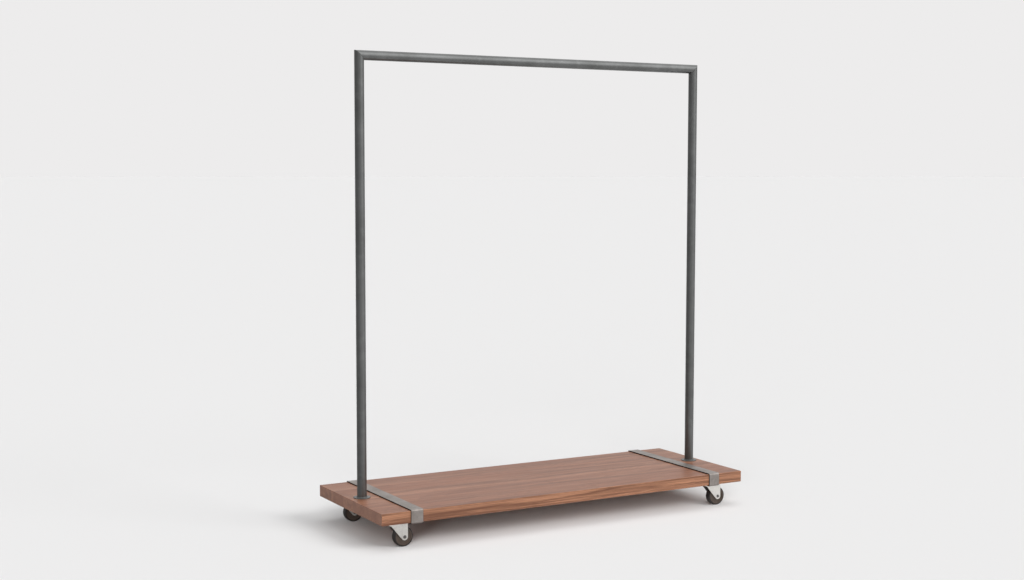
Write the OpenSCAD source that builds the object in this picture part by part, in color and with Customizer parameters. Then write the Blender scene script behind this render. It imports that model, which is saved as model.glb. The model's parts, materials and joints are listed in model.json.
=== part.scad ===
// Rolling clothes rack. A thick timber deck stands on four swivel casters. Two steel poles and a
// top rail, mitred together at the corners, stand on it, each pole on a welded disc that is
// bolted from below. A flat steel strap is folded round the deck near each end.
// Millimetres. X runs along the deck, Y from the front edge to the back, Z up.
// The origin is on the floor under the middle of the deck.

/* [Deck] */
// Length of the timber deck
deck_l = 1500; // [1200:10:1800]
// Depth of the deck, front to back
deck_w = 540; // [480:10:640]
// Thickness of the deck
deck_t = 41; // [38:1:50]
// Radius of the deck's eased edges
deck_ease = 1.6; // [0.8:0.1:3]

/* [Frame] */
// Height of the top of the rail above the floor
rack_h = 1680; // [1200:10:1800]
// Outside diameter of the frame tube
tube_d = 33.7; // [28:0.1:38]
// Wall thickness of the frame tube
tube_wall = 2.6; // [1.5:0.1:3]
// Distance from a pole's centre line to the end of the deck
pole_inset = 48; // [44:1:60]
// Diameter of the disc welded to the foot of a pole
disc_d = 60; // [52:1:70]
// Thickness of that disc
disc_t = 3; // [3:0.5:6]

/* [Straps] */
// Width of a strap
strap_w = 44; // [40:1:60]
// Thickness of a strap
strap_t = 4; // [3:0.5:5]
// Distance from the middle of a strap to the end of the deck
strap_inset = 129.5; // [124:0.5:160]
// Length of the flange that turns in under the deck
strap_return = 22; // [18:1:24]

/* [Casters] */
// Height of a caster, from the floor to the deck
caster_h = 91; // [90:1:100]
// Diameter of a wheel
wheel_d = 70; // [60:1:72]
// Width of the tyre
wheel_w = 24; // [20:1:25]
// Distance from the swivel axis to the axle
trail = 13; // [12:1:18]
// Distance from a swivel axis to the end of the deck
caster_inset_x = 91; // [85:1:110]
// Distance from a swivel axis to the long edge of the deck
caster_inset_y = 60; // [58:1:75]

/* [Hidden] */
$fn = 64;
eps = 0.01;

// Colours
walnut = [0.50, 0.34, 0.26];
dark_steel = [0.27, 0.28, 0.28];
raw_steel = [0.52, 0.50, 0.49];
zinc = [0.74, 0.74, 0.72];
bright_steel = [0.62, 0.63, 0.65];
black_plastic = [0.17, 0.15, 0.15];
dark_rubber = [0.20, 0.16, 0.15];

// Heights above the floor
deck_z = caster_h;
deck_top = deck_z + deck_t;
rail_z = rack_h - tube_d / 2;
foot_z = deck_top + disc_t;
axle_z = wheel_d / 2;

// Places along X and Y
pole_x = deck_l / 2 - pole_inset;
strap_x = deck_l / 2 - strap_inset;
caster_x = deck_l / 2 - caster_inset_x;
caster_y = deck_w / 2 - caster_inset_y;

// Frame bolt, its washer and the threaded plug inside the pole
bolt_r = 5;
bolt_hole_r = 5.5;
bolt_l = 60;
bolt_head_t = 6.4;
bolt_head_r = 9.8;
recess_r = 13;
recess_depth = 12;
washer_r = 12;
washer_t = 2;
plug_r = tube_d / 2 - tube_wall;
plug_l = 30;
foot_weld = 2.6;
washer_z = deck_z + recess_depth - washer_t;

// Strap screws
strap_screw_r = 2.25;
strap_screw_l = 16;
strap_screw_head_r = 4.2;
strap_screw_head_t = 2.4;
strap_screw_dx = 14;
strap_screw_y = deck_w / 2 - strap_return / 2;

// Caster plate and its screws
plate_l = 76;
plate_w = 60;
plate_t = 2.5;
plate_corner = 8;
plate_hole_dx = 30;
plate_hole_dy = 22.5;
plate_screw_r = 3;
plate_screw_l = 28;
plate_screw_head_r = 5.6;
plate_screw_head_t = 4;
plate_z = deck_z - plate_t;

// Swivel bearing: a ring of balls between two grooved races
ball_r = 2.5;
ball_count = 14;
race_pitch_r = 14;
race_in_r = 10.5;
race_out_r = 17.5;
race_t = 2;
ball_z = plate_z - race_t - 1.25;
groove_plate_r = ball_r + 0.1;
groove_fork_r = ball_r + 0.3;

// Fork, pressed from sheet
sheet = 2.5;
crown_top = ball_z - 1.25 - race_t;
crown_z = crown_top - sheet;
crown_round_r = 46;
web_y = 16;
rib_y = 19;
rib_start_x = trail - 12.5;
rib_full_x = trail - 8;
leg_front_x = -37;
leg_eye_r = 11.5;
leg_back_x = trail + leg_eye_r;
leg_lip_z = crown_z - 2;
leg_flare_r = 10;
bend_r = 3.5;

// Kingpin
kingpin_r = 5;
kingpin_clear = 0.05;
kingpin_head_r = 11;
kingpin_head_t = 2.5;
kingpin_gap = 0.3;
kingpin_rivet_r = 7.5;

// Axle bolt, nut and sleeve
axle_r = 4;
axle_hole_r = 4.1;
axle_head_r = 6;
axle_head_t = 3.4;
nut_r = 7.5;
nut_t = 6.5;
sleeve_r = 6;
sleeve_clear = 0.05;

// Wheel core and tyre
hub_r = 11;
hub_half = web_y - sheet - 0.8;
boss_r = 7.8;
boss_half = rib_y - sheet - 0.3;
web_half = 9;
web_out_r = 26;
core_r = 30;
tyre_shoulder = 2.4;

CORNERS = [["front_left", -1, -1], ["front_right", 1, -1], ["back_left", -1, 1], ["back_right", 1, 1]];
SIDES = [["left", -1], ["right", 1]];
CASTER_PARTS = ["plate", "plate_screws", "swivel_balls", "kingpin", "fork",
                "axle_bolt", "axle_nut", "axle_sleeve", "wheel_core", "tyre"];
SIDE_PARTS = ["pole", "base_disc", "pole_plug", "frame_bolt", "frame_washer", "strap"];

// ---------- helpers ----------

// A rectangle centred on the origin, with true round corners
module round_rect(w, h, r) {
    square([w - 2 * r, h], center = true);
    square([w, h - 2 * r], center = true);
    for (sx = [-1, 1], sy = [-1, 1])
        translate([sx * (w / 2 - r), sy * (h / 2 - r)]) circle(r);
}

module ring(r_out, r_in, h) {
    difference() {
        cylinder(r = r_out, h = h);
        translate([0, 0, -1]) cylinder(r = r_in, h = h + 2);
    }
}

// A shape along X, drawn in the YZ plane
module along_x(l) {
    rotate([90, 0, 90]) translate([0, 0, -l / 2]) linear_extrude(l) children();
}

// A shape along Y, drawn in the XZ plane
module along_y(l) {
    rotate([90, 0, 0]) translate([0, 0, -l / 2]) linear_extrude(l) children();
}

module at_side(s) { translate([s[1] * pole_x, 0, 0]) children(); }
module at_strap(s) { translate([s[1] * strap_x, 0, 0]) children(); }
module at_caster(c) { translate([c[1] * caster_x, c[2] * caster_y, 0]) children(); }

// The body of a wood screw above its head, ending in a point
module screw_shank(r, l) {
    cylinder(r = r, h = l - 2 * r);
    translate([0, 0, l - 2 * r]) cylinder(r1 = r, r2 = 0.3, h = 2 * r);
}

// Where the screws stand, seen from below
module strap_screw_places() {
    for (dx = [-1, 1], dy = [-1, 1])
        translate([dx * strap_screw_dx, dy * strap_screw_y, 0]) children();
}

module plate_screw_places() {
    for (dx = [-1, 1], dy = [-1, 1])
        translate([dx * plate_hole_dx, dy * plate_hole_dy, 0]) children();
}

// ---------- deck and straps ----------

module deck_blank() {
    translate([0, 0, deck_z + deck_t / 2]) intersection() {
        along_x(deck_l) round_rect(deck_w, deck_t, deck_ease);
        along_y(deck_w) round_rect(deck_l, deck_t, deck_ease);
        translate([0, 0, -deck_t / 2]) linear_extrude(deck_t) round_rect(deck_l, deck_w, deck_ease);
    }
}

module deck() {
    color(walnut) difference() {
        deck_blank();
        for (s = SIDES) at_side(s) {
            translate([0, 0, deck_z - 1]) cylinder(r = bolt_hole_r, h = deck_t + 2);
            translate([0, 0, deck_z - 1]) cylinder(r = recess_r, h = recess_depth + 1);
        }
        for (s = SIDES) at_strap(s) strap_screw_places()
            translate([0, 0, deck_z - strap_t]) screw_shank(strap_screw_r, strap_screw_l + strap_t);
        for (c = CORNERS) at_caster(c) plate_screw_places()
            translate([0, 0, plate_z]) screw_shank(plate_screw_r, plate_screw_l + plate_t);
    }
}

// A strap lies over the top of the deck, down both long edges and a little way in underneath
module strap() {
    color(raw_steel) difference() {
        translate([0, 0, deck_z + deck_t / 2]) along_x(strap_w) difference() {
            round_rect(deck_w + 2 * strap_t, deck_t + 2 * strap_t, deck_ease + strap_t);
            round_rect(deck_w, deck_t, deck_ease);
            translate([0, -deck_t / 2 - strap_t / 2])
                square([deck_w - 2 * strap_return, strap_t + 2], center = true);
        }
        strap_screw_places()
            translate([0, 0, deck_z - strap_t - 1]) cylinder(r = strap_screw_r + 0.2, h = strap_t + 1);
    }
}

// Pan-head screws with a cross slot, driven up through the flanges
module strap_screws() {
    color(bright_steel) for (s = SIDES) at_strap(s) strap_screw_places()
        translate([0, 0, deck_z - strap_t]) {
            screw_shank(strap_screw_r, strap_screw_l + strap_t);
            difference() {
                translate([0, 0, -strap_screw_head_t])
                    cylinder(r1 = strap_screw_head_r - 1, r2 = strap_screw_head_r, h = strap_screw_head_t);
                for (a = [0, 90]) rotate(a) translate([0, 0, -strap_screw_head_t])
                    cube([4, 1, 2.4], center = true);
            }
        }
}

// ---------- poles, rail and their feet ----------

// Half of space on the far side of the left corner's mitre plane
module mitre_half(up) {
    size = 200;
    translate([0, 0, rail_z]) rotate([0, 45, 0])
        translate([-size / 2, -size / 2, up ? 0 : -size]) cube(size);
}

module left_pole() {
    difference() {
        translate([0, 0, foot_z]) ring(tube_d / 2, plug_r, rack_h - foot_z + tube_d);
        mitre_half(true);
    }
}

module pole(s) {
    color(dark_steel) at_side(s) mirror([s[1] > 0 ? 1 : 0, 0, 0]) left_pole();
}

module top_rail() {
    color(dark_steel) difference() {
        translate([-pole_x - tube_d, 0, rail_z]) rotate([0, 90, 0])
            ring(tube_d / 2, plug_r, 2 * (pole_x + tube_d));
        for (s = SIDES) at_side(s) mirror([s[1] > 0 ? 1 : 0, 0, 0]) mitre_half(false);
    }
}

module base_disc() {
    edge = 0.8;
    color(dark_steel) translate([0, 0, deck_top]) difference() {
        union() {
            cylinder(r = disc_d / 2, h = disc_t - edge);
            translate([0, 0, disc_t - edge]) cylinder(r1 = disc_d / 2, r2 = disc_d / 2 - edge, h = edge);
        }
        translate([0, 0, -1]) cylinder(r = bolt_hole_r, h = disc_t + 2);
    }
}

// The fillet of weld between a pole and its disc
module foot_welds() {
    color(dark_steel) for (s = SIDES) at_side(s) translate([0, 0, foot_z]) rotate_extrude()
        translate([tube_d / 2, 0]) polygon([[0, 0], [foot_weld, 0], [0, foot_weld]]);
}

module pole_plug() {
    color(bright_steel) translate([0, 0, foot_z]) ring(plug_r, bolt_r, plug_l);
}

module frame_bolt() {
    color(bright_steel) translate([0, 0, washer_z]) {
        cylinder(r = bolt_r, h = bolt_l);
        translate([0, 0, -bolt_head_t]) cylinder(r = bolt_head_r, h = bolt_head_t, $fn = 6);
    }
}

module frame_washer() {
    color(bright_steel) translate([0, 0, washer_z]) ring(washer_r, bolt_r + 0.25, washer_t);
}

// ---------- casters, drawn with the swivel axis on Z and the axle trailing towards +X ----------

module race_groove(r) { rotate_extrude() translate([race_pitch_r, 0]) circle(r, $fn = 32); }

module plate() {
    color(zinc) difference() {
        union() {
            translate([0, 0, plate_z]) linear_extrude(plate_t) round_rect(plate_l, plate_w, plate_corner);
            translate([0, 0, plate_z - race_t]) cylinder(r = race_out_r, h = race_t + eps);
        }
        translate([0, 0, plate_z - race_t - 1]) cylinder(r = race_in_r, h = race_t + 1);
        translate([0, 0, ball_z]) race_groove(groove_plate_r);
        translate([0, 0, plate_z - 1]) cylinder(r = kingpin_r, h = plate_t + 2);
        translate([0, 0, plate_z]) cylinder(r1 = kingpin_r, r2 = kingpin_rivet_r, h = plate_t);
        plate_screw_places() translate([0, 0, plate_z - 1]) cylinder(r = plate_screw_r + 0.25, h = plate_t + 2);
    }
}

module plate_screws() {
    color(bright_steel) plate_screw_places() translate([0, 0, plate_z]) {
        screw_shank(plate_screw_r, plate_screw_l + plate_t);
        translate([0, 0, -plate_screw_head_t]) cylinder(r = plate_screw_head_r, h = plate_screw_head_t, $fn = 6);
        translate([0, 0, -0.8]) cylinder(r = plate_screw_head_r + 0.9, h = 0.8);
    }
}

module swivel_balls() {
    color(bright_steel) for (i = [0 : ball_count - 1])
        rotate(i * 360 / ball_count) translate([race_pitch_r, 0, ball_z]) sphere(ball_r, $fn = 32);
}

// A rivet: flush in the plate, and headed under the crown
module kingpin() {
    head_z = crown_z - kingpin_gap - kingpin_head_t;
    color(bright_steel) {
        translate([0, 0, head_z]) cylinder(r = kingpin_r, h = deck_z - head_z);
        translate([0, 0, plate_z]) cylinder(r1 = kingpin_r, r2 = kingpin_rivet_r, h = plate_t);
        translate([0, 0, head_z]) cylinder(r = kingpin_head_r, h = kingpin_head_t);
        translate([0, 0, head_z - 1.5]) cylinder(r1 = kingpin_r, r2 = kingpin_r + 2, h = 1.5);
    }
}

// The fork seen from above: straight webs in front, and a rib pressed outwards round the axle
module fork_plan(inset) {
    polygon([for (m = [1, -1], i = [0 : 3]) let (
        j = m > 0 ? i : 3 - i,
        x = [-60, rib_start_x, rib_full_x, 60][j],
        y = [web_y, web_y, rib_y, rib_y][j] - inset) [x, m * y]]);
}

// The crown's outline: round in front, and cut off straight behind the legs
module crown_plan() {
    intersection() {
        fork_plan(0);
        circle(crown_round_r);
        translate([leg_back_x - 2 * crown_round_r, -crown_round_r]) square(2 * crown_round_r);
    }
}

// The fork seen from the side: an eye round the axle, a straight back, and a slanted front that
// flares into a shallow lip under the crown
module fork_side() {
    knee = [leg_front_x, leg_lip_z];
    eye = [trail, axle_z];
    reach = norm(eye - knee);
    aim = atan2(knee[1] - eye[1], knee[0] - eye[0]) + acos(leg_eye_r / reach);
    touch = eye + leg_eye_r * [cos(aim), sin(aim)];
    slant = (touch - knee) / norm(touch - knee);
    flare = leg_flare_r * tan(-atan2(slant[1], slant[0]) / 2);
    translate(eye) circle(leg_eye_r);
    polygon([touch, eye, [leg_back_x, axle_z], [leg_back_x, crown_top], [-crown_round_r, crown_top],
             [-crown_round_r, leg_lip_z], knee]);
    difference() {
        polygon([knee, knee - [flare, 0], knee + flare * slant]);
        translate(knee - [flare, leg_flare_r]) circle(leg_flare_r);
    }
}

// The sheet bent over both long edges of the crown
module fork_bend() {
    round_rect(2 * rib_y, 2 * crown_top, bend_r);
}

module fork() {
    color(zinc) difference() {
        union() {
            intersection() {
                linear_extrude(crown_top) difference() {
                    crown_plan();
                    fork_plan(sheet);
                }
                along_y(3 * rib_y) fork_side();
                along_x(200) fork_bend();
            }
            intersection() {
                translate([0, 0, crown_z]) linear_extrude(sheet) crown_plan();
                along_x(200) fork_bend();
            }
            translate([0, 0, crown_top - eps]) cylinder(r = race_out_r, h = race_t + eps);
        }
        translate([0, 0, crown_top]) cylinder(r = race_in_r, h = race_t + 1);
        translate([0, 0, ball_z]) race_groove(groove_fork_r);
        translate([0, 0, crown_z - 1]) cylinder(r = kingpin_r + kingpin_clear, h = sheet + race_t + 2);
        translate([trail, 0, axle_z]) rotate([90, 0, 0])
            cylinder(r = axle_hole_r, h = 4 * rib_y, center = true);
    }
}

// Turns a shape drawn along Z so that it lies on the axle, its far end towards +Y
module on_axle(y) { translate([trail, y, axle_z]) rotate([-90, 0, 0]) children(); }

module axle_bolt() {
    color(bright_steel) difference() {
        union() {
            on_axle(-rib_y) cylinder(r = axle_r, h = 2 * rib_y + nut_t + 1.5);
            on_axle(-rib_y - axle_head_t) cylinder(r1 = axle_head_r - 1.6, r2 = axle_head_r, h = axle_head_t);
        }
        on_axle(-rib_y - axle_head_t - 1) cylinder(r = 2.9, h = 3, $fn = 6);
    }
}

module axle_nut() {
    color(bright_steel) on_axle(rib_y) difference() {
        cylinder(r = nut_r, h = nut_t, $fn = 6);
        translate([0, 0, -1]) cylinder(r = axle_r, h = nut_t + 2);
    }
}

module axle_sleeve() {
    half = rib_y - sheet;
    color(bright_steel) on_axle(-half) ring(sleeve_r, axle_hole_r, 2 * half);
}

module wheel_core() {
    color(black_plastic) on_axle(0) difference() {
        union() {
            translate([0, 0, -boss_half]) cylinder(r = boss_r, h = 2 * boss_half);
            translate([0, 0, -hub_half]) cylinder(r = hub_r, h = 2 * hub_half);
            translate([0, 0, -web_half]) cylinder(r = core_r, h = 2 * web_half);
            translate([0, 0, -wheel_w / 2]) ring(core_r, web_out_r, wheel_w);
        }
        translate([0, 0, -boss_half - 1]) cylinder(r = sleeve_r + sleeve_clear, h = 2 * boss_half + 2);
    }
}

module tyre() {
    r = wheel_d / 2;
    tread_half = wheel_w / 2 - tyre_shoulder;
    color(dark_rubber) on_axle(0) rotate_extrude() {
        translate([core_r, -wheel_w / 2]) square([r - tyre_shoulder - core_r, wheel_w]);
        translate([core_r, -tread_half]) square([r - core_r, 2 * tread_half]);
        for (m = [-1, 1]) translate([r - tyre_shoulder, m * tread_half]) circle(tyre_shoulder);
    }
}

// ---------- the assembly ----------

deck();
top_rail();
foot_welds();
strap_screws();

for (s = SIDES) {
    pole(s);
    at_side(s) base_disc();
    at_side(s) pole_plug();
    at_side(s) frame_bolt();
    at_side(s) frame_washer();
    at_strap(s) strap();
}

for (c = CORNERS) {
    at_caster(c) plate();
    at_caster(c) plate_screws();
    at_caster(c) swivel_balls();
    at_caster(c) kingpin();
    at_caster(c) fork();
    at_caster(c) axle_bolt();
    at_caster(c) axle_nut();
    at_caster(c) axle_sleeve();
    at_caster(c) wheel_core();
    at_caster(c) tyre();
}
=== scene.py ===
"""Looks for the rolling clothes rack, in metres: materials, weld and tyre detail, studio and camera."""

import json
import math
import random

import bmesh
import bpy
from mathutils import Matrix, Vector


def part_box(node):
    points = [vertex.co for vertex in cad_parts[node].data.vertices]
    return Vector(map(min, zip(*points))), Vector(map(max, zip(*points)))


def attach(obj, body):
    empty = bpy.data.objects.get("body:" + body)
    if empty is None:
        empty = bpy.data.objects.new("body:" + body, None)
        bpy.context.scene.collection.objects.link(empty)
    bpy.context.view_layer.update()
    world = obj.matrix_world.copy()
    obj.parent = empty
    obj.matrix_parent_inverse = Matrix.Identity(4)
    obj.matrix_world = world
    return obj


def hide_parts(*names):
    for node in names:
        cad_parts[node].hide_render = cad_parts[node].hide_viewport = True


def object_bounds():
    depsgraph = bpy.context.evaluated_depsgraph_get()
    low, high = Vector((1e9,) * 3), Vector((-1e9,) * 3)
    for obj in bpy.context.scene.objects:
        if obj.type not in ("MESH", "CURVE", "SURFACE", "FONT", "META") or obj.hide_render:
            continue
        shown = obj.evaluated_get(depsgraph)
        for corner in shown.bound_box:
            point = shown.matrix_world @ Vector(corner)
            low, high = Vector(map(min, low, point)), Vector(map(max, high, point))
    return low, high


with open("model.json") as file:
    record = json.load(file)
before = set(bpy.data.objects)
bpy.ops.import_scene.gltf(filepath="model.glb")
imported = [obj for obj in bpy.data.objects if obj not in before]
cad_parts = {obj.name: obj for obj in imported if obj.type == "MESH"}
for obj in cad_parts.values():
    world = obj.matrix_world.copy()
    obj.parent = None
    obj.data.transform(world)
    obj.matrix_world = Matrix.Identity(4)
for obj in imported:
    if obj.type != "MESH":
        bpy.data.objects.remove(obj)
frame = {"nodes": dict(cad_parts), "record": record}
cad_low, cad_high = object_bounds()
nodes = frame["nodes"]

MM = 0.001
CORNERS = ("front_left", "front_right", "back_left", "back_right")
SIDES = ("left", "right")


# ---------------------------------------------------------------- node trees

class Tree:
    """A node tree with short calls that add a node and return its first output."""

    def __init__(self, owner):
        owner.use_nodes = True
        self.tree = owner.node_tree
        self.tree.nodes.clear()

    def add(self, kind, inputs=None, output=0, **settings):
        """Adds a node, fills or links its inputs and returns one of its outputs."""
        node = self.tree.nodes.new(kind)
        for key, value in settings.items():
            setattr(node, key, value)
        for key, value in (inputs or {}).items():
            socket = node.inputs[key]
            if isinstance(value, bpy.types.NodeSocket):
                self.tree.links.new(value, socket)
            else:
                socket.default_value = value
        return node.outputs[output] if node.outputs else node

    def math(self, operation, a, b=0.0):
        return self.add("ShaderNodeMath", {0: a, 1: b}, operation=operation)

    def vector(self, operation, a, b=(0, 0, 0)):
        out = "Value" if operation in ("DOT_PRODUCT", "LENGTH", "DISTANCE") else "Vector"
        return self.add("ShaderNodeVectorMath", {0: a, 1: b}, output=out, operation=operation)

    def stretch(self, vector, scale):
        """Multiplies a vector by a scale for each axis."""
        return self.vector("MULTIPLY", vector, scale)

    def split(self, vector):
        node = self.tree.nodes.new("ShaderNodeSeparateXYZ")
        self.tree.links.new(vector, node.inputs[0])
        return node.outputs

    def join(self, x=0.0, y=0.0, z=0.0):
        return self.add("ShaderNodeCombineXYZ", {0: x, 1: y, 2: z})

    def noise(self, vector, scale=1.0, detail=2.0, roughness=0.5, distortion=0.0, output=0):
        inputs = {
            "Vector": vector, "Scale": scale, "Detail": detail,
            "Roughness": roughness, "Distortion": distortion,
        }
        return self.add("ShaderNodeTexNoise", inputs, output=output)

    def spread(self, value, low, high, to_low=0.0, to_high=1.0, smooth=True):
        """Maps low..high to to_low..to_high, clamped."""
        return self.add(
            "ShaderNodeMapRange",
            {"Value": value, "From Min": low, "From Max": high, "To Min": to_low, "To Max": to_high},
            interpolation_type="SMOOTHSTEP" if smooth else "LINEAR",
        )

    def mix(self, share, a, b, blend="MIX"):
        """Mixes two colours."""
        node = self.tree.nodes.new("ShaderNodeMix")
        node.data_type, node.blend_type = "RGBA", blend
        for index, value in ((0, share), (6, a), (7, b)):
            if isinstance(value, bpy.types.NodeSocket):
                self.tree.links.new(value, node.inputs[index])
            elif index == 0:
                node.inputs[index].default_value = value
            else:
                node.inputs[index].default_value = (*value, 1.0)
        return node.outputs[2]

    def bump(self, height, strength, distance):
        return self.add("ShaderNodeBump", {"Height": height, "Strength": strength, "Distance": distance})


class Material(Tree):
    """A material with one Principled shader."""

    def __init__(self, name):
        self.material = bpy.data.materials.new(name)
        super().__init__(self.material)
        self.place = self.add("ShaderNodeTexCoord", output="Object")

    def finish(self, **sockets):
        """Sets or links the Principled shader's sockets and closes the tree."""
        names = {key.replace("_", " "): value for key, value in sockets.items()}
        shader = self.add("ShaderNodeBsdfPrincipled", names)
        self.add("ShaderNodeOutputMaterial", {"Surface": shader})
        return self.material


def srgb(*display):
    """A colour given as 0..255 display values, as linear values by the sRGB standard's curve."""
    def linear(value):
        return value / 12.92 if value <= 0.04045 else ((value + 0.055) / 1.055) ** 2.4

    return tuple(linear(value / 255) for value in display)


# ---------------------------------------------------------------- materials

FACE_DARK, FACE_LIGHT, FACE_RED = srgb(112, 74, 55), srgb(158, 111, 87), srgb(135, 86, 63)
# EDGE_DARK and EDGE_LIGHT are partly painted light and shade: tones for the long edges, tuned apart from
# the face's to even out how differently the edges and the face are lit
EDGE_DARK, EDGE_LIGHT, END_GRAIN = srgb(108, 73, 55), srgb(181, 131, 101), srgb(114, 94, 86)
LATE_WOOD, FIBRE, PORE, GLUE = srgb(92, 58, 42), srgb(112, 76, 58), srgb(58, 36, 27), srgb(62, 38, 28)
BOARD_WIDTH = 0.108
RING_GAP = 0.0046
STRAP_PROUD = 0.004  # how far the straps stand out from the deck's long edges
DECK_HALF_WIDTH = cad_high[1] - STRAP_PROUD


def walnut():
    """Solid walnut, glued up from boards that run along X, with growth rings, pores and end grain."""
    m = Material("walnut")
    x, y, z = m.split(m.place)
    from_front = m.math("DIVIDE", m.math("ADD", y, DECK_HALF_WIDTH), BOARD_WIDTH)
    board = m.math("FLOOR", from_front)
    luck = m.add("ShaderNodeTexWhiteNoise", {"W": board}, output="Color", noise_dimensions="1D")
    luck_r, luck_g, luck_b = m.split(luck)
    apart = m.vector("ADD", m.place, luck)

    # each board is cut from its own trunk: the pith wanders slowly along the board
    far = m.math("MULTIPLY", luck_r, 7.0)
    along = m.join(m.math("ADD", m.math("MULTIPLY", x, 1.5), far), far, 0.0)
    wander_r, wander_g, _ = m.split(m.noise(along, detail=2.0, output="Color"))
    from_edge = m.math("MULTIPLY", m.math("ADD", board, 0.5), BOARD_WIDTH)
    middle_y = m.math("SUBTRACT", from_edge, DECK_HALF_WIDTH)
    pith_y = m.math("ADD", middle_y, m.spread(wander_r, 0.2, 0.8, -0.05, 0.05, smooth=False))
    pith_z = m.math("ADD", m.spread(luck_g, 0.0, 1.0, -0.02, 0.06, smooth=False),
                    m.spread(wander_g, 0.2, 0.8, -0.03, 0.03, smooth=False))
    from_pith = m.join(0.0, m.math("SUBTRACT", y, pith_y), m.math("SUBTRACT", z, pith_z))
    wave = m.noise(m.stretch(m.place, (3.0, 22.0, 22.0)), detail=3.0)
    waviness = m.spread(wave, 0.2, 0.8, -0.008, 0.008, smooth=False)
    radius = m.math("ADD", m.vector("LENGTH", from_pith), waviness)
    ring = m.math("FRACT", m.math("DIVIDE", radius, RING_GAP))
    late_wood = m.math("MULTIPLY", m.spread(ring, 0.35, 0.92), m.spread(ring, 1.0, 0.93))

    # streaks of heartwood, which show from far away, tighter on the long edges than on the face
    facing = m.split(m.add("ShaderNodeTexCoord", output="Normal"))
    end = m.spread(m.math("ABSOLUTE", facing[0]), 0.55, 0.85)
    edge = m.spread(m.math("ABSOLUTE", facing[1]), 0.55, 0.85)
    streak = m.noise(m.stretch(apart, (1.5, 30.0, 30.0)), detail=4.0, roughness=0.6, distortion=0.5)
    tight = m.noise(m.stretch(apart, (2.4, 60.0, 84.0)), detail=4.0, roughness=0.62, distortion=0.7)
    broad = m.noise(m.stretch(apart, (0.8, 8.0, 8.0)), detail=2.0)
    fine = m.noise(m.stretch(m.place, (9.0, 420.0, 420.0)), detail=3.0, roughness=0.65)

    colour = m.mix(m.spread(streak, 0.34, 0.66), FACE_DARK, FACE_LIGHT)
    colour = m.mix(m.spread(broad, 0.38, 0.68, 0.0, 0.55), colour, FACE_RED)
    # the long edges' tones are partly painted light and shade, tuned apart from the face's for the light
    # they get; their tighter streaks are the grain
    edge_colour = m.mix(m.spread(tight, 0.36, 0.62), EDGE_DARK, EDGE_LIGHT)
    colour = m.mix(edge, colour, edge_colour)
    ring_share = m.math("MULTIPLY", late_wood, m.spread(edge, 0.0, 1.0, 0.32, 0.48))
    colour = m.mix(ring_share, colour, LATE_WOOD)
    colour = m.mix(m.spread(fine, 0.42, 0.75, 0.0, 0.35), colour, FIBRE)
    shade = m.spread(luck_b, 0.0, 1.0, 0.92, 1.07, smooth=False)
    colour = m.mix(1.0, colour, m.join(shade, shade, shade), blend="MULTIPLY")

    # pores: short dark strokes along the board, round dots on the end grain
    pore = m.add(
        "ShaderNodeTexVoronoi",
        {"Vector": m.stretch(m.place, (60.0, 900.0, 900.0)), "Scale": 1.0, "Randomness": 1.0},
        output="Distance",
    )
    pore_mask = m.math("MULTIPLY", m.spread(pore, 0.20, 0.08), m.spread(late_wood, 0.9, 0.1, 0.2, 1.0))
    colour = m.mix(m.math("MULTIPLY", pore_mask, 0.55), colour, PORE)
    joint = m.math("ABSOLUTE", m.math("SUBTRACT", m.math("FRACT", m.math("ADD", from_front, 0.5)), 0.5))
    glue_line = m.spread(joint, 0.004, 0.001)
    colour = m.mix(m.math("MULTIPLY", glue_line, 0.35), colour, GLUE)
    colour = m.mix(end, colour, m.mix(0.5, colour, END_GRAIN))

    rough = m.spread(fine, 0.3, 0.75, 0.31, 0.47, smooth=False)
    rough = m.math("ADD", rough, m.math("MULTIPLY", end, 0.18))
    height = m.math("SUBTRACT", m.math("MULTIPLY", fine, 0.6), pore_mask)
    height = m.math("SUBTRACT", height, m.math("MULTIPLY", late_wood, 0.25))
    height = m.math("SUBTRACT", height, glue_line)
    return m.finish(Base_Color=colour, Roughness=rough, IOR=1.35, Normal=m.bump(height, 0.35, 0.15 * MM))


def worn_metal(name, base, dark, bright, roughness, blotch, streaks, speck, side_shade=None):
    """Steel with a rolled or plated skin, whose base colour has dark clouds and bright fog.

    blotch and speck are the scales of its clouds and of its dark specks, and streaks is the stretch
    of its fine marks for each axis. The last colour, when given, is a painted shade: a near-black
    colour on the faces that look along X, standing in for the shade on a strap's sides.
    """
    m = Material(name)
    cloud = m.noise(m.place, scale=blotch, detail=5.0, roughness=0.62)
    fog = m.noise(m.place, scale=blotch * 5.0, detail=3.0)
    lines = m.noise(m.stretch(m.place, streaks), detail=3.0, roughness=0.7)
    spots = m.noise(m.place, scale=speck, detail=2.0)
    colour = m.mix(m.spread(cloud, 0.35, 0.68), base, dark)
    colour = m.mix(m.spread(fog, 0.48, 0.78, 0.0, 0.55), colour, bright)
    colour = m.mix(m.spread(spots, 0.62, 0.78, 0.0, 0.5), colour, dark)
    # painted shade: the faces that look along X get a near-black colour, standing in for the shade on a
    # strap's sides
    if side_shade:
        along_x = m.math("ABSOLUTE", m.split(m.add("ShaderNodeTexCoord", output="Normal"))[0])
        colour = m.mix(m.spread(along_x, 0.5, 0.8), colour, side_shade)
    rough = m.math("ADD", m.spread(cloud, 0.3, 0.7, roughness - 0.05, roughness + 0.06, smooth=False),
                   m.spread(lines, 0.3, 0.7, -0.04, 0.04, smooth=False))
    height = m.math("ADD", m.math("MULTIPLY", lines, 0.7), m.math("MULTIPLY", spots, 0.3))
    normal = m.bump(height, 0.25, 0.06 * MM)
    return m.finish(Base_Color=colour, Roughness=rough, Metallic=1.0, Normal=normal)


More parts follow.
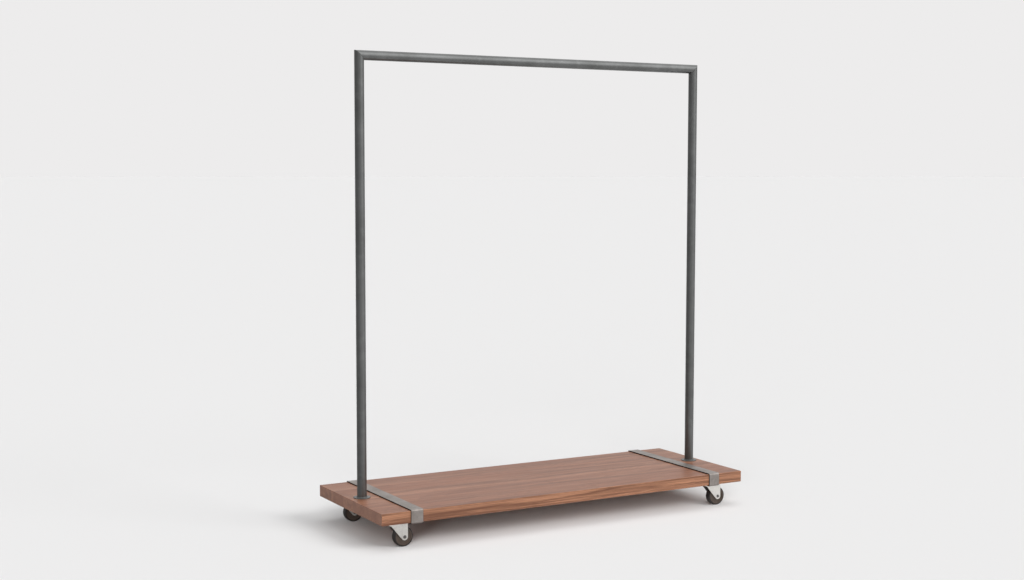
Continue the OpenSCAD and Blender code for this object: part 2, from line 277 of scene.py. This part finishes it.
def moulded(name, base, worn, roughness, grain):
    """Moulded rubber or plastic: a fine grain, with dusty, scuffed patches in the worn colour."""
    m = Material(name)
    dust = m.noise(m.place, scale=55.0, detail=5.0, roughness=0.65)
    skin = m.noise(m.place, scale=grain, detail=2.0)
    colour = m.mix(m.spread(dust, 0.45, 0.8, 0.0, 0.7), base, worn)
    rough = m.spread(dust, 0.3, 0.7, roughness - 0.05, roughness + 0.1, smooth=False)
    return m.finish(Base_Color=colour, Roughness=rough, Normal=m.bump(skin, 0.3, 0.08 * MM))


FRAME_STEEL = worn_metal(
    "frame_steel", (0.162, 0.165, 0.164), (0.130, 0.133, 0.131), (0.200, 0.204, 0.202),
    0.36, 7.0, (300.0, 300.0, 30.0), 900.0)
# the straps' last colour is a painted shade, near-black, on their faces that look along X
STRAP_STEEL = worn_metal(
    "strap_steel", (0.320, 0.289, 0.270), (0.245, 0.218, 0.20), (0.40, 0.368, 0.345),
    0.46, 16.0, (40.0, 500.0, 500.0), 700.0, side_shade=(0.030, 0.024, 0.021))
ZINC = worn_metal(
    "caster_zinc", (0.77, 0.75, 0.71), (0.67, 0.65, 0.62), (0.85, 0.83, 0.80),
    0.34, 60.0, (300.0, 300.0, 300.0), 1500.0)
FASTENER = worn_metal(
    "fastener_steel", (0.52, 0.53, 0.54), (0.40, 0.41, 0.42), (0.62, 0.63, 0.64),
    0.32, 80.0, (400.0, 400.0, 400.0), 1500.0)
# painted shade: the axle bolts' darker steel stands in for the shade round their heads
AXLE_STEEL = worn_metal(
    "axle_steel", (0.23, 0.225, 0.22), (0.15, 0.145, 0.14), (0.33, 0.325, 0.32),
    0.34, 80.0, (400.0, 400.0, 400.0), 1500.0)
WELD_STEEL = worn_metal(
    "weld_steel", (0.15, 0.152, 0.148), (0.10, 0.10, 0.097), (0.22, 0.225, 0.22),
    0.36, 220.0, (600.0, 600.0, 600.0), 1500.0)
WHEEL_PLASTIC = moulded("wheel_plastic", (0.047, 0.033, 0.025), (0.075, 0.056, 0.045), 0.46, 2500.0)
TYRE_RUBBER = moulded("tyre_rubber", (0.012, 0.009, 0.008), (0.030, 0.023, 0.020), 0.50, 1800.0)
WALNUT = walnut()

BY_SLOT = {
    "walnut": WALNUT, "frame_steel": FRAME_STEEL, "strap_steel": STRAP_STEEL, "caster_zinc": ZINC,
    "fastener_steel": FASTENER, "wheel_plastic": WHEEL_PLASTIC, "tyre_rubber": TYRE_RUBBER,
}


def dress_nodes():
    """Gives every CAD node the material of its slot, apart from the axle bolts, which are darker."""
    for row in frame["record"]["subparts"]:
        slots = nodes[row["node"]].data.materials
        slots.clear()
        # the axle bolts' darker steel is a painted shade
        slots.append(AXLE_STEEL if row["node"].endswith("axle_bolt") else BY_SLOT[row["material_slot"]])


dress_nodes()


SAME_POINT = 0.002 * MM
FLAT_WITHIN = math.radians(0.5)
SHARP_FROM = math.radians(50.0)


def ease_edges(name, width, join_flats=False):
    """Rounds a node's sharp edges a little, as rolling, pressing or filing leaves them.

    These are modifiers, so the CAD mesh stays as it is. join_flats first merges the triangles of each
    flat face, so that no stray edge crosses a drilled flange.
    """
    node = nodes[name]
    weld = node.modifiers.new("weld", "WELD")
    weld.merge_threshold = SAME_POINT
    if join_flats:
        join = node.modifiers.new("join", "DECIMATE")
        join.decimate_type = "DISSOLVE"
        join.angle_limit = FLAT_WITHIN
    bevel = node.modifiers.new("ease", "BEVEL")
    bevel.width = width
    bevel.segments = 2
    bevel.limit_method = "ANGLE"
    bevel.angle_limit = SHARP_FROM
    flat = node.modifiers.new("flat", "WEIGHTED_NORMAL")
    flat.weight = 80


for side in SIDES:
    ease_edges(side + "_strap", 0.5 * MM, join_flats=True)
    ease_edges(side + "_frame_bolt", 0.4 * MM)
for corner in CORNERS:
    ease_edges(corner + "_fork", 0.4 * MM)
    ease_edges(corner + "_plate", 0.4 * MM)
    ease_edges(corner + "_wheel_core", 0.6 * MM)
    ease_edges(corner + "_axle_nut", 0.4 * MM)


# ---------------------------------------------------------------- pieces

def piece(name, shapes, material, body, replaced):
    """Makes one object of closed bands and says what it rides on and replaces.

    A band is a list of closed loops of points. Each is joined to the next, and the last to the first.
    """
    mesh = bmesh.new()
    for loops in shapes:
        rows = [[mesh.verts.new(p) for p in loop] for loop in loops]
        for near, next_row in zip(rows, rows[1:] + rows[:1]):
            for i in range(len(near)):
                j = (i + 1) % len(near)
                mesh.faces.new((near[i], near[j], next_row[j], next_row[i]))
    bmesh.ops.recalc_face_normals(mesh, faces=mesh.faces)
    data = bpy.data.meshes.new(name)
    mesh.to_mesh(data)
    mesh.free()
    data.shade_smooth()
    data.materials.append(material)
    made = bpy.data.objects.new(name, data)
    bpy.context.scene.collection.objects.link(made)
    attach(made, body)
    if replaced:
        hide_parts(replaced)


def box_of(name):
    """A node's lowest corner, highest corner and middle, as vectors."""
    low, high = (Vector(corner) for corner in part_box(name))
    return low, high, (low + high) / 2


dice = random.Random(7)
POLE_RADIUS = (box_of("left_pole")[1].x - box_of("left_pole")[0].x) / 2
FOOT_WELD = 2.6 * MM  # a leg of the fillet
FOOT_SUNK = 0.3 * MM  # how deep its hidden faces lie in the steel
RIPPLES = 34
STEPS_PER_RIPPLE = 9


def foot_weld(side):
    """A fillet weld round a pole's foot, with the ripples that the torch left."""
    foot = Vector((box_of(side + "_pole")[2].x, 0.0, box_of(side + "_base_disc")[1].z))
    steps, arc_steps = RIPPLES * STEPS_PER_RIPPLE, 7
    depths = [dice.uniform(0.7, 1.2) for _ in range(RIPPLES)]
    loops = []
    for i in range(steps):
        turn = i / steps * 2 * math.pi
        ripple = i / steps * RIPPLES
        lift = depths[int(ripple)] * (ripple % 1.0) ** 0.6
        size = FOOT_WELD * (0.90 + 0.16 * lift)
        loop = [(-FOOT_SUNK, -FOOT_SUNK)]
        for k in range(arc_steps):
            a = k / (arc_steps - 1) * math.pi / 2
            flatten = 1.0 - 0.17 * math.sin(2 * a)
            loop.append((size * math.cos(a) * flatten, size * math.sin(a) * flatten))
        loop[1] = (loop[1][0], -FOOT_SUNK)
        loop[-1] = (-FOOT_SUNK, loop[-1][1])
        rim = [(POLE_RADIUS + out, up) for out, up in loop]
        loops.append([foot + Vector((r * math.cos(turn), r * math.sin(turn), up)) for r, up in rim])
    return loops


def mitre_seam(sign):
    """The weld round a mitred top corner, dressed nearly flush. sign is -1 for the left one.

    Its crest stands proud mostly at the front and back, and never outside the rail's own reach.
    """
    reach = box_of("top_rail")[1]
    corner = Vector((sign * box_of("right_pole")[2].x, 0.0, reach.z - POLE_RADIUS))
    toe, proud, bulge, sunk, steps = 1.3 * MM, 0.32 * MM, 0.1 * MM, 0.04 * MM, 280
    loops = []
    for i in range(steps):
        t = i / steps * 2 * math.pi
        on_seam = corner + POLE_RADIUS * Vector((sign * math.cos(t), math.sin(t), math.cos(t)))
        outward = Vector((sign * math.cos(t), 2 * math.sin(t), math.cos(t))).normalized()
        crest = on_seam + outward * (0.05 * MM + proud * dice.uniform(0.6, 1.1) * math.sin(t) ** 2)
        on_pole = on_seam - Vector((0.0, 0.0, toe)) - outward * sunk
        on_rail = on_seam - Vector((sign * toe, 0.0, 0.0)) - outward * sunk
        root = on_seam - outward * 0.8 * MM
        loop = [on_pole, (on_pole + crest) / 2 + outward * bulge, crest,
                (on_rail + crest) / 2 + outward * bulge, on_rail, root]
        for point in loop:
            point.z = min(point.z, reach.z)
            point.x = sign * min(sign * point.x, reach.x)
        loops.append(loop)
    return loops


beads = [foot_weld(side) for side in SIDES]
piece("foot_weld_beads", beads, WELD_STEEL, "rack", "foot_welds")
seams = [mitre_seam(sign) for sign in (-1, 1)]
piece("mitre_weld_seams", seams, WELD_STEEL, "rack", None)


def tyre(corner):
    """A moulded tyre: a crowned tread with a parting line, and stepped side walls."""
    low, high, middle = box_of(corner + "_tyre")
    radius = (high.z - low.z) / 2
    half = (high.y - low.y) / 2
    bore = box_of(corner + "_wheel_core")[1].z - middle.z - 0.15 * MM
    shoulder, step_in, crown_fall = 2.4 * MM, 0.35 * MM, 0.3 * MM

    # half a profile as (place across the tread, distance from the axle), from the bore to the middle
    side_wall = [(half - 0.5 * MM, bore), (half, bore + 0.5 * MM), (half, bore + 1.4 * MM),
                 (half - step_in, bore + 1.7 * MM)]
    bend = []
    for a in (i * math.pi / 16 for i in range(9)):
        across = half - shoulder + (shoulder - step_in) * math.cos(a)
        out = radius - shoulder + (shoulder - crown_fall) * math.sin(a)
        bend.append((across, out))
    crown = [(half * share, radius - crown_fall * share) for share in (0.55, 0.35, 0.15, 0.03)]
    parting_line = [(0.25 * MM, radius - 0.02 * MM), (0.12 * MM, radius)]
    right = side_wall + bend + crown + parting_line
    profile = right + [(-y, r) for y, r in reversed(right)]
    steps = 128
    loops = [
        [middle + Vector((r * math.cos(a), y, r * math.sin(a))) for y, r in profile]
        for a in (i / steps * 2 * math.pi for i in range(steps))
    ]
    body, node = corner + "_wheel", corner + "_tyre"
    piece(corner + "_tyre_moulding", [loops], TYRE_RUBBER, body, node)


for corner in CORNERS:
    tyre(corner)


# ---------------------------------------------------------------- studio

FLOOR_LIGHT = 3.26  # on the open floor: each lamp gives its share, and the room the rest
ROOM_LEVEL = 0.137
BRIGHT_SIDE = 48.0  # the azimuth of the room's bright side
BACKDROP = srgb(237, 236, 236)
FLOOR_ALBEDO = 0.81
FLOOR_REACH = 400.0


def towards(azimuth, height):
    """A direction: azimuth 0 is -Y, 90 is +X."""
    a, h = math.radians(azimuth), math.radians(height)
    return (math.sin(a) * math.cos(h), -math.cos(a) * math.cos(h), math.sin(h))


def studio_world():
    """A soft room.

    Gloss sees a softbox on the right and a dim left wall, and the camera sees a plain backdrop.
    """
    world = bpy.data.worlds.new("studio")
    bpy.context.scene.world = world
    t = Tree(world)
    room = t.add("ShaderNodeBackground", {"Color": (1.0, 1.0, 1.0, 1.0), "Strength": ROOM_LEVEL})
    way = t.add("ShaderNodeTexCoord", output="Generated")
    up = t.split(way)[2]
    right = t.vector("DOT_PRODUCT", way, towards(BRIGHT_SIDE, 0.0))
    softbox = t.vector("DOT_PRODUCT", way, towards(38.0, 28.0))
    behind = t.vector("DOT_PRODUCT", way, towards(155.0, 8.0))
    gloss = t.math("ADD", t.spread(right, -0.5, 1.0, 0.37, 0.68), t.spread(up, 0.15, 0.75, 0.0, 0.75))
    gloss = t.math("ADD", gloss, t.spread(softbox, 0.76, 0.98, 0.0, 1.2))
    gloss = t.math("ADD", gloss, t.spread(behind, 0.75, 0.97, 0.0, 0.25))
    mirrored = t.add("ShaderNodeBackground", {"Color": (1.0, 1.0, 1.0, 1.0), "Strength": gloss})
    plain = t.add("ShaderNodeBackground", {"Color": (*BACKDROP, 1.0), "Strength": 1.0})
    ray = t.add("ShaderNodeLightPath", output="Is Camera Ray")
    glossy_ray = t.add("ShaderNodeLightPath", output="Is Glossy Ray")
    room = t.add("ShaderNodeMixShader", {0: glossy_ray, 1: room, 2: mirrored})
    both = t.add("ShaderNodeMixShader", {0: ray, 1: room, 2: plain})
    t.add("ShaderNodeOutputWorld", {"Surface": both})


def soft_lights():
    """Large soft lights, told as azimuth, height, width and share of the light on the floor.

    Their gloss comes from the world's softbox.
    """
    for name, azimuth, height, width, share in (
        ("key", 32.0, 34.0, 26.0, 0.28),
        ("fill", -27.0, 23.0, 26.0, 0.20),
        ("low", -44.0, 9.0, 12.0, 0.05),
        ("top", 36.0, 79.0, 58.0, 0.345),
    ):
        data = bpy.data.lights.new(name, "SUN")
        data.energy = FLOOR_LIGHT * share / math.sin(math.radians(height))
        data.angle = math.radians(width)
        lamp = bpy.data.objects.new(name, data)
        lamp.rotation_mode = "QUATERNION"
        lamp.rotation_quaternion = Vector(towards(azimuth, height)).to_track_quat("Z", "Y")
        lamp.visible_glossy = False
        bpy.context.scene.collection.objects.link(lamp)


def pale_floor():
    """An endless pale floor. It can be seen through from below, so that the underside can be looked at.

    Gloss sees it dimmer on the left, like the room.
    """
    data = bpy.data.meshes.new("floor")
    ends = ((-1, -1), (1, -1), (1, 1), (-1, 1))
    data.from_pydata([(x * FLOOR_REACH, y * FLOOR_REACH, 0) for x, y in ends], [], [(0, 1, 2, 3)])
    floor = bpy.data.objects.new("floor", data)
    bpy.context.scene.collection.objects.link(floor)
    m = Material("floor")
    way = m.vector("NORMALIZE", m.place)
    left = m.spread(m.vector("DOT_PRODUCT", way, towards(BRIGHT_SIDE, 0.0)), 0.35, -0.75)
    glossy_ray = m.add("ShaderNodeLightPath", output="Is Glossy Ray")
    pale = (FLOOR_ALBEDO * 1.005, FLOOR_ALBEDO, FLOOR_ALBEDO)
    dimmed = m.math("MULTIPLY", m.math("MULTIPLY", left, glossy_ray), 0.55)
    colour = m.mix(dimmed, pale, (0.10, 0.10, 0.10))
    matt = m.add("ShaderNodeBsdfDiffuse", {"Color": colour})
    clear = m.add("ShaderNodeBsdfTransparent")
    below = m.add("ShaderNodeNewGeometry", output="Backfacing")
    both = m.add("ShaderNodeMixShader", {0: below, 1: matt, 2: clear})
    m.add("ShaderNodeOutputMaterial", {"Surface": both})
    data.materials.append(m.material)


def camera():
    """The camera at the photograph's viewing angle."""
    data = bpy.data.cameras.new("camera")
    data.lens = 52.62
    data.sensor_width = 36.0
    data.clip_end = 1000.0
    cam = bpy.data.objects.new("camera", data)
    cam.location = (-2.7836, -4.7419, 1.2655)
    yaw, pitch, roll = 0.51466, 0.07859, -0.0013
    cam.rotation_euler = (math.pi / 2 - pitch, roll, -yaw)
    bpy.context.scene.collection.objects.link(cam)
    bpy.context.scene.camera = cam


camera()
studio_world()
soft_lights()
pale_floor()
bpy.context.scene.view_settings.view_transform = "Standard"
